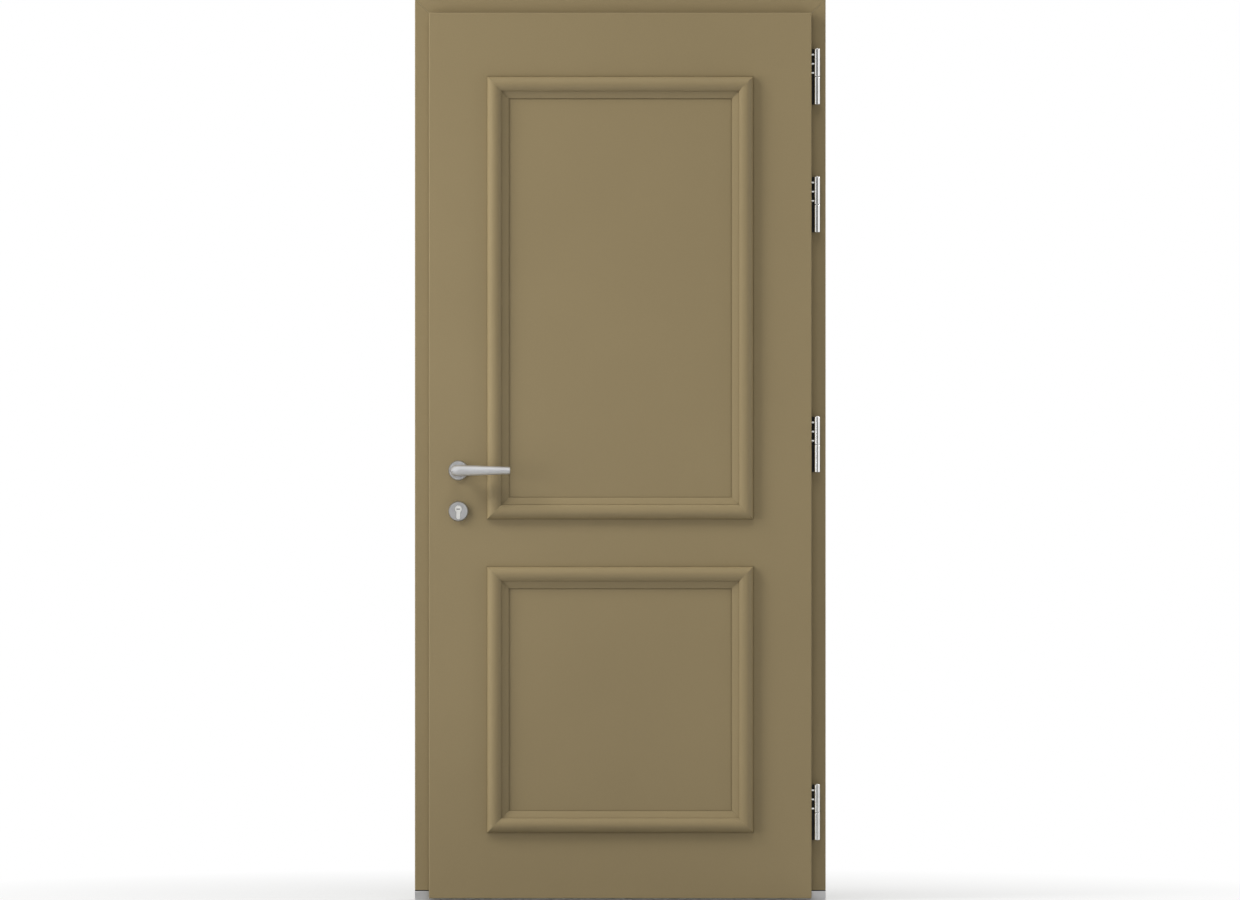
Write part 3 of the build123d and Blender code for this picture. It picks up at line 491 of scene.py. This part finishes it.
def mouldingSection(look):
    # inset and height: an arc up to the crest, where it is level, a wider arc down from it,
    # a step to a groove, the band, and a groove and lip at each foot
    inset, height, radius = look["crestInset"], look["crestHeight"], look["fallRadius"]
    lip, lipHigh = look["lipWidth"], look["lipHeight"]
    foot = lip + look["footGap"]
    rise, run = height - look["side"], inset - foot
    riseRadius = (run**2 + rise**2) / (2 * rise)
    riseAngle = np.degrees(np.arctan2(run, riseRadius - rise))
    riseArc = arcPoints((inset, height - riseRadius), riseRadius, 90 + riseAngle, 90, look["arcSteps"])
    fallAngle = np.degrees(np.arcsin((look["fallEnd"] - inset) / radius))
    fallArc = arcPoints((inset, height - radius), radius, 90, 90 - fallAngle, look["arcSteps"])
    bandHeight, wide, wall = fallArc[-1][1] - look["step"], look["grooveWidth"], look["grooveWall"]
    floor, footFloor, end = bandHeight - look["grooveDepth"], look["footFloor"], look["width"]
    start, bandEdge = look["fallEnd"], look["bandEdgeHeight"]
    corners = [
        fallArc[-2], fallArc[-1], (start + wide * wall, floor), (start + wide * (1 - wall), floor),
        (start + wide, bandHeight), (end - foot, bandEdge), (end - foot, footFloor), (end - lip, footFloor),
        (end - lip, lipHigh), (end, lipHigh), (end, 0), (0, 0), (0, lipHigh), (lip, lipHigh),
        (lip, footFloor), (foot, footFloor), riseArc[0],
    ]
    soft = look["rounding"]
    radii = [soft["fallEnd"], soft["groove"], soft["groove"], soft["bandStart"], soft["bandEdge"]]
    radii += [0] * (len(corners) - 2 - len(radii))  # the foot's corners stay sharp
    return np.concatenate([riseArc[1:], fallArc[1:-2], roundCorners(corners, radii)])


def mouldingBar(section, side, low, high, face, outward, gap):
    # the section at inset u runs from low + u + gap to high - u - gap along the bar,
    # which cuts the 45 degree mitres
    inset, height = section[:, 0], section[:, 1]
    along, across = (2, 0) if side in ("left", "right") else (0, 2)
    shift = gap / np.sqrt(2)
    ends = np.stack([low[along] + inset + shift, high[along] - inset - shift])
    points = np.zeros((2, len(section), 3))
    points[..., along] = ends
    points[..., across] = low[across] + inset if side in ("left", "bottom") else high[across] - inset
    points[..., 1] = face + outward * height
    count = len(section)
    caps = [list(range(count)), list(range(count, 2 * count))]
    return points, gridQuads(2, count, wrapCols=True) + caps


def addMouldings(look):
    section = mouldingSection(look)
    sides = ("left", "right", "top", "bottom")
    coat, gap = finishes["coat"], look["mitreGap"]
    outside = []
    for name in ("upper", "lower"):
        boxes = [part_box(f"{name}_moulding_{side}") for side in sides]
        low = np.min([box[0] for box in boxes], axis=0)
        high = np.max([box[1] for box in boxes], axis=0)
        for side in sides:
            bar = mouldingBar(section, side, low, high, innerFace, -1, gap)
            node = f"{name}_moulding_{side}"
            addPiece(f"{name}{side.capitalize()}Moulding", *bar, coat, "leaf", "powder_coat", node)
            outside.append(mouldingBar(section, side, low, high, outerFace, 1, gap))
    addPiece("outsideMouldings", *joinParts(outside), coat, "leaf", "powder_coat", "outside_mouldings")


addMouldings(mouldingLook)
print("mouldings made")


# lever handles and their roses, drawn outwards from a face of the leaf

leverLook = {
    "start": 4 * mm, "collarEnd": 11 * mm, "shankRadius": 9.5 * mm, "elbowRadius": 13.1 * mm, "heel": 5 * mm,
    "elbowReach": 33.6 * mm, "bendRadius": 14 * mm, "length": 124 * mm, "tipRadius": 8.6 * mm,
    "tipRound": 2.2 * mm, "ringPoints": 64,
    "shankRings": 26, "bendRings": 22, "gripRings": 30, "tipRings": 10,
}
roseLook = {
    "radius": 24 * mm, "faceRadius": 22 * mm, "thickness": 9 * mm, "bevel": 0.9 * mm, "rim": 3 * mm,
    "face": 2 * mm, "bore": 9.8 * mm, "boreRound": 0.5 * mm, "hollowRound": 0.2 * mm, "ringPoints": 96,
}
# opening for the cylinder, whose edge is rounded through a point midway
profileLook = {
    "round": 9.15 * mm, "leg": 5.7 * mm, "drop": 25.1 * mm, "edgeRound": 0.15 * mm, "edgeMiddle": 0.04 * mm,
    "faceBand": 5 * mm, "bevelSteps": 8,
}


def eased(t):
    return t * t * (3 - 2 * t)


def leverSurface(look, outward):
    # rings of radius r(s) about a path that goes out, drifts back by the heel, turns a quarter circle
    # and runs along the door
    bend, reach, heel, collar = look["bendRadius"], look["elbowReach"], look["heel"], look["collarEnd"]
    out = np.linspace(look["start"], reach, look["shankRings"])
    angle = np.radians(np.linspace(0, 90, look["bendRings"]))[1:]
    grip = np.linspace(bend - heel, look["length"] - look["tipRound"], look["gripRings"])[1:]
    tip = np.radians(np.linspace(0, 90, look["tipRings"]))[1:]
    straight = len(grip) + len(tip)
    flare = eased(np.clip((out - collar) / (reach - collar), 0, 1))
    drift = -heel * flare
    tipRound = look["tipRound"]
    x = np.concatenate([drift, bend - heel - bend * np.cos(angle), grip, grip[-1] + tipRound * np.sin(tip)])
    y = np.concatenate([out, reach + bend * np.sin(angle), np.full(straight, reach + bend)])
    turn = np.concatenate([np.arctan(np.gradient(drift, out)), angle, np.full(straight, np.pi / 2)])
    shank, elbow, end = look["shankRadius"], look["elbowRadius"], look["tipRadius"]
    taper = (grip - grip[0]) / (look["length"] - grip[0])
    radius = np.concatenate([
        shank + (elbow - shank) * flare, np.full(len(angle), elbow),
        elbow + (end - elbow) * taper, end - tipRound * (1 - np.cos(tip)),
    ])
    around = np.linspace(0, 2 * np.pi, look["ringPoints"], endpoint=False)[None, :]
    side = radius[:, None] * np.cos(around)
    points = np.zeros((len(x), look["ringPoints"], 3))
    points[..., 0] = x[:, None] + side * np.cos(turn)[:, None]
    points[..., 1] = outward * (y[:, None] - side * np.sin(turn)[:, None])
    points[..., 2] = radius[:, None] * np.sin(around)
    rows, count = points.shape[:2]
    caps = [list(range(count)), list(range((rows - 1) * count, rows * count))]
    return points, gridQuads(rows, count, wrapCols=True) + caps


def roseSection(look):
    # radius and height: leaning rim, rounded edge, face, bore, and the hollow behind
    high, wide, bore = look["thickness"], look["radius"], look["bore"]
    hub, wall, ceiling = bore + look["rim"], wide - look["rim"], high - look["face"]
    corners = [
        (wide, 0), (look["faceRadius"], high), (bore, high), (bore, 0), (hub, 0),
        (hub, ceiling), (wall, ceiling), (wall, 0),
    ]
    radii = [look["bevel"], look["boreRound"]] + [look["hollowRound"]] * 4
    return roundCorners(corners, radii)


def turnedSurface(radius, height, centre, face, outward, count):
    # (r, h) becomes centre + r (cos a, sin a) in the face's plane and face + h outwards
    around = np.linspace(0, 2 * np.pi, count, endpoint=False)[None, :]
    points = np.zeros((len(radius), count, 3))
    points[..., 0] = centre.x + radius * np.cos(around)
    points[..., 1] = face + outward * height
    points[..., 2] = centre.z + radius * np.sin(around)
    return points, gridQuads(len(radius), count, wrapRows=True, wrapCols=True)


def leverRoseSurface(look, centre, face, outward):
    section = roseSection(look)
    return turnedSurface(section[:, :1], section[:, 1:], centre, face, outward, look["ringPoints"])


def openingReach(around, look, rise):
    # distance from the rose's middle to the opening's edge at each angle:
    # the further of the round part and, below the middle, the leg
    cosA, sinA = np.cos(around), np.sin(around)
    roundPart = sinA * rise + np.sqrt(look["round"] ** 2 - (cosA * rise) ** 2)
    footCentre = rise - look["drop"] + look["leg"]
    side = look["leg"] / np.maximum(np.abs(cosA), 1e-9)
    inside = (cosA * footCentre) ** 2 < look["leg"] ** 2
    root = np.sqrt(np.maximum(look["leg"] ** 2 - (cosA * footCentre) ** 2, 0))
    foot = sinA * footCentre + root
    leg = np.where(inside & (sinA * side < footCentre), foot, side)
    return np.where(sinA < 0, np.maximum(roundPart, leg), roundPart)


def keyRoseSurface(look, opening, centre, face, outward, rise):
    # rows go from the rim over the bevel to the opening's edge, down through it and back along the hollow
    count = look["ringPoints"] * 2
    reach = openingReach(np.linspace(0, 2 * np.pi, count, endpoint=False), opening, rise)
    high, wide, thick = look["thickness"], look["radius"], look["face"]
    outline = [(wide, 0), (look["faceRadius"], high), (wide - opening["faceBand"], high)]
    rim = roundCorners(outline, [look["bevel"]], opening["bevelSteps"])
    soft, middle = opening["edgeRound"], opening["edgeMiddle"]
    edge = np.array([(soft, 0), (middle, -middle), (0, -soft), (0, -thick)])
    outer = np.broadcast_to(rim[:, :1], (len(rim), count))
    inner = reach[None, :] + edge[:, :1]
    back = np.full((2, count), wide - look["rim"])
    radius = np.concatenate([outer, inner, back])
    height = np.concatenate([rim[:, 1], high + edge[:, 1], [high - thick, 0]])[:, None]
    return turnedSurface(radius, height, centre, face, outward, count)


def addHandles():
    satin = "satin_aluminium"
    rise = plugAxis.z - keyRoseAxis.z
    for side, face, outward in (("inside", innerFace, -1), ("outside", outerFace, 1)):
        points, faces = leverSurface(leverLook, outward)
        points += np.array([leverAxis.x, face, leverAxis.z])
        addPiece(f"{side}Lever", points, faces, finishes["grip"], "levers", satin, f"{side}_lever")
        rose = leverRoseSurface(roseLook, leverAxis, face, outward)
        addPiece(f"{side}LeverRose", *rose, finishes["leverRose"], "leaf", satin, f"{side}_lever_rose")
        keyRose = keyRoseSurface(roseLook, profileLook, keyRoseAxis, face, outward, rise)
        addPiece(f"{side}KeyRose", *keyRose, finishes["keyRose"], "leaf", satin, f"{side}_key_rose")


addHandles()
print("levers and roses made")


# hinge barrels, turned from bar

barrelLook = {
    "chamfer": 1.0 * mm, "boreRound": 0.25 * mm, "leafBore": 5.6 * mm, "frameBore": 4.05 * mm,
    "frameDepth": 40 * mm, "ringPoints": 72,
}


def barrelSection(look, owner, radius, low, high):
    # radius and height from halfway up the outside: top edge, bore, its floor, and back past the foot
    edge, lip, middle = look["chamfer"], look["boreRound"], (low + high) / 2
    if owner == "leaf":  # bored right through
        bore = look["leafBore"]
        inside, radii = [(bore, high), (bore, low)], [edge, lip, lip, edge]
    else:
        bore, floor = look["frameBore"], high - look["frameDepth"]
        inside, radii = [(bore, high), (bore, floor), (0, floor), (0, low)], [edge, lip, lip, 0, 0, edge]
    outline = [(radius, middle), (radius, high), *inside, (radius, low), (radius, middle)]
    return roundCorners(outline, radii)[:-1]


def turnUpright(section, axis, count):
    # (r, z) becomes axis + r (cos a, sin a), z
    around = np.linspace(0, 2 * np.pi, count, endpoint=False)[None, :]
    radius, height = section[:, 0][:, None], section[:, 1][:, None]
    grid = np.broadcast_arrays(axis.x + radius * np.cos(around), axis.y + radius * np.sin(around), height)
    return np.stack(grid, axis=-1), gridQuads(len(section), count, wrapRows=True, wrapCols=True)


def addBarrels(look):
    axis = Vector(joints["leaf_swing"]["pos_m"])
    for number in range(1, 5):
        for owner in ("frame", "leaf"):
            node = f"hinge_{number}_{owner}_barrel"
            low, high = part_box(node)
            section = barrelSection(look, owner, (high.y - low.y) / 2, low.z, high.z)
            surface = turnUpright(section, axis, look["ringPoints"])
            name = f"hinge{number}{owner.capitalize()}Barrel"
            addPiece(name, *surface, finishes["barrel"], owner, "polished_steel", node)


addBarrels(barrelLook)
print("hinge barrels made")


# floor, light and camera

stageLook = {
    "floorColor": (0.50, 0.50, 0.49), "floorShades": (0.985, 1.015), "floorGrain": 60.0, "floorSize": 9.0,
    "floorDrop": 0.5 * mm, "floorPoints": 96,
    "fadeFrom": 0.55, "fadeTo": 1.9, "whiteShare": 0.5,  # the camera sees the floor turn white between these
    "skyColor": (1.0, 0.985, 0.96), "skyLight": 0.12, "behindCamera": 0.12,
    "roomPatch": {"X": (0.50, 0.66), "Y": (-0.3, 0.0), "Z": (0.24, 0.36)},
    "aim": (0, 0, 1.07),
    # place, watts, width and height of each soft box, whether metal mirrors it, and whether it faces
    # the door squarely
    "lamps": {
        "keyLamp": ((-5.6, -2.45, 5.6), 335.0, 2.4, 2.4, False, False),
        "leftLamp": ((-5.5, -2.5, 1.1), 165.0, 2.0, 3.0, False, False),
        "topLamp": ((-0.2, -2.9, 6.4), 128.0, 3.0, 2.0, False, False),
        "leftStrip": ((-1.15, -0.65, 1.25), 3.2, 0.3, 2.3, False, False),
        "rightStrip": ((1.6, -0.8, 1.3), 9.5, 0.6, 2.4, False, False),
        "handleLamp": ((-0.34, -1.3, 1.05), 0.75, 0.3, 0.3, True, True),
        "backLamp": ((4.4, 4.2, 4.6), 480.0, 3.0, 3.0, True, False),
    },
}


def addFloor(look):
    # one level disc, so that nothing ends at a corner of the view
    around = np.linspace(0, 2 * np.pi, look["floorPoints"], endpoint=False)
    across, along = look["floorSize"] * np.cos(around), look["floorSize"] * np.sin(around)
    points = np.stack([across, along, np.full(len(around), -look["floorDrop"])], axis=1)
    mesh = bpy.data.meshes.new("floor")
    mesh.from_pydata(points.tolist(), [], [list(range(len(around)))])
    floor = bpy.data.objects.new("floor", mesh)
    bpy.context.scene.collection.objects.link(floor)
    material, tree, shader = startFinish("paleFloor", look["floorColor"], 0.0, 0.85, 0.2)
    place = objectPlace(tree)
    grain = noiseOf(tree, place, look["floorGrain"], 4.0)
    darker, lighter = [shaded(look["floorColor"], share) for share in look["floorShades"]]
    tree.links.new(blendColors(tree, grain, darker, lighter), shader.inputs["Base Color"])
    far = stretch(tree, lengthOf(tree, place), look["whiteShare"], 1, look["fadeFrom"], look["fadeTo"])
    rays = tree.nodes.new("ShaderNodeLightPath")
    white = tree.nodes.new("ShaderNodeEmission")
    blend = tree.nodes.new("ShaderNodeMixShader")
    tree.links.new(mathOf(tree, "MULTIPLY", far, rays.outputs["Is Camera Ray"]), blend.inputs[0])
    tree.links.new(shader.outputs[0], blend.inputs[1])
    tree.links.new(white.outputs[0], blend.inputs[2])
    tree.links.new(blend.outputs[0], tree.nodes["Material Output"].inputs["Surface"])
    mesh.materials.append(material)


def backgroundOf(tree, color, strength):
    background = tree.nodes.new("ShaderNodeBackground")
    background.inputs["Color"].default_value = (*color, 1)
    if isinstance(strength, float):
        background.inputs["Strength"].default_value = strength
    else:
        tree.links.new(strength, background.inputs["Strength"])
    return background.outputs[0]


def blendShaders(tree, factor, first, second):
    mix = tree.nodes.new("ShaderNodeMixShader")
    for value, socket in zip((factor, first, second), mix.inputs):
        tree.links.new(value, socket)
    return mix.outputs[0]


def addSky(look):
    # even light from all round; the camera sees white, and so do mirrors,
    # but for a dark patch towards the room behind the camera
    world = bpy.data.worlds.new("studio")
    world.use_nodes = True
    bpy.context.scene.world = world
    tree = world.node_tree
    tree.nodes.clear()
    rays = tree.nodes.new("ShaderNodeLightPath").outputs
    direction = splitOf(tree, tree.nodes.new("ShaderNodeTexCoord").outputs["Generated"])
    # how far a direction leaves the dark patch, the most of the three axes
    sideways = mathOf(tree, "ABSOLUTE", direction["X"])
    upright = mathOf(tree, "ABSOLUTE", direction["Z"])
    leave = [
        stretch(tree, value, 0, 1, *look["roomPatch"][label])
        for label, value in (("X", sideways), ("Y", direction["Y"]), ("Z", upright))
    ]
    most = mathOf(tree, "MAXIMUM", mathOf(tree, "MAXIMUM", leave[0], leave[1]), leave[2])
    soft = backgroundOf(tree, look["skyColor"], look["skyLight"])
    mirrored = backgroundOf(tree, (1, 1, 1), stretch(tree, most, look["behindCamera"], 1.0, 0, 1))
    white = backgroundOf(tree, (1, 1, 1), 1.0)
    lit = blendShaders(tree, rays["Is Glossy Ray"], soft, mirrored)
    clear = mathOf(tree, "MAXIMUM", rays["Is Camera Ray"], rays["Is Transmission Ray"])
    output = tree.nodes.new("ShaderNodeOutputWorld")
    tree.links.new(blendShaders(tree, clear, lit, white), output.inputs["Surface"])


def addLamps(lamps, aim):
    for name, (place, power, wide, high, mirrored, square) in lamps.items():
        light = bpy.data.lights.new(name, "AREA")
        light.shape = "RECTANGLE"
        light.size = wide
        light.size_y = high
        light.energy = power
        lamp = bpy.data.objects.new(name, light)
        lamp.location = place
        target = Vector((place[0], 0, place[2])) if square else Vector(aim)
        lamp.rotation_euler = (target - lamp.location).to_track_quat("-Z", "Y").to_euler()
        lamp.visible_camera = False
        lamp.visible_glossy = mirrored
        bpy.context.scene.collection.objects.link(lamp)


photoLook = {"wide": 1240, "pixel": 2.3836 * mm, "distance": 25.0, "eye": (-0.0007, 1.0738), "sensor": 36.0}


def addCamera(look):
    # the lens makes the photo's width span wide * pixel at the leaf's face
    camera = bpy.data.objects.new("camera", bpy.data.cameras.new("camera"))
    camera.data.sensor_width = look["sensor"]
    camera.data.lens = look["sensor"] * look["distance"] / (look["wide"] * look["pixel"])
    camera.location = (look["eye"][0], innerFace - look["distance"], look["eye"][1])
    camera.rotation_euler = (np.radians(90), 0, 0)
    bpy.context.scene.collection.objects.link(camera)
    bpy.context.scene.camera = camera


addFloor(stageLook)
addSky(stageLook)
addLamps(stageLook["lamps"], stageLook["aim"])
addCamera(photoLook)
bpy.context.scene.view_settings.view_transform = "Standard"
print("floor, light and camera placed")
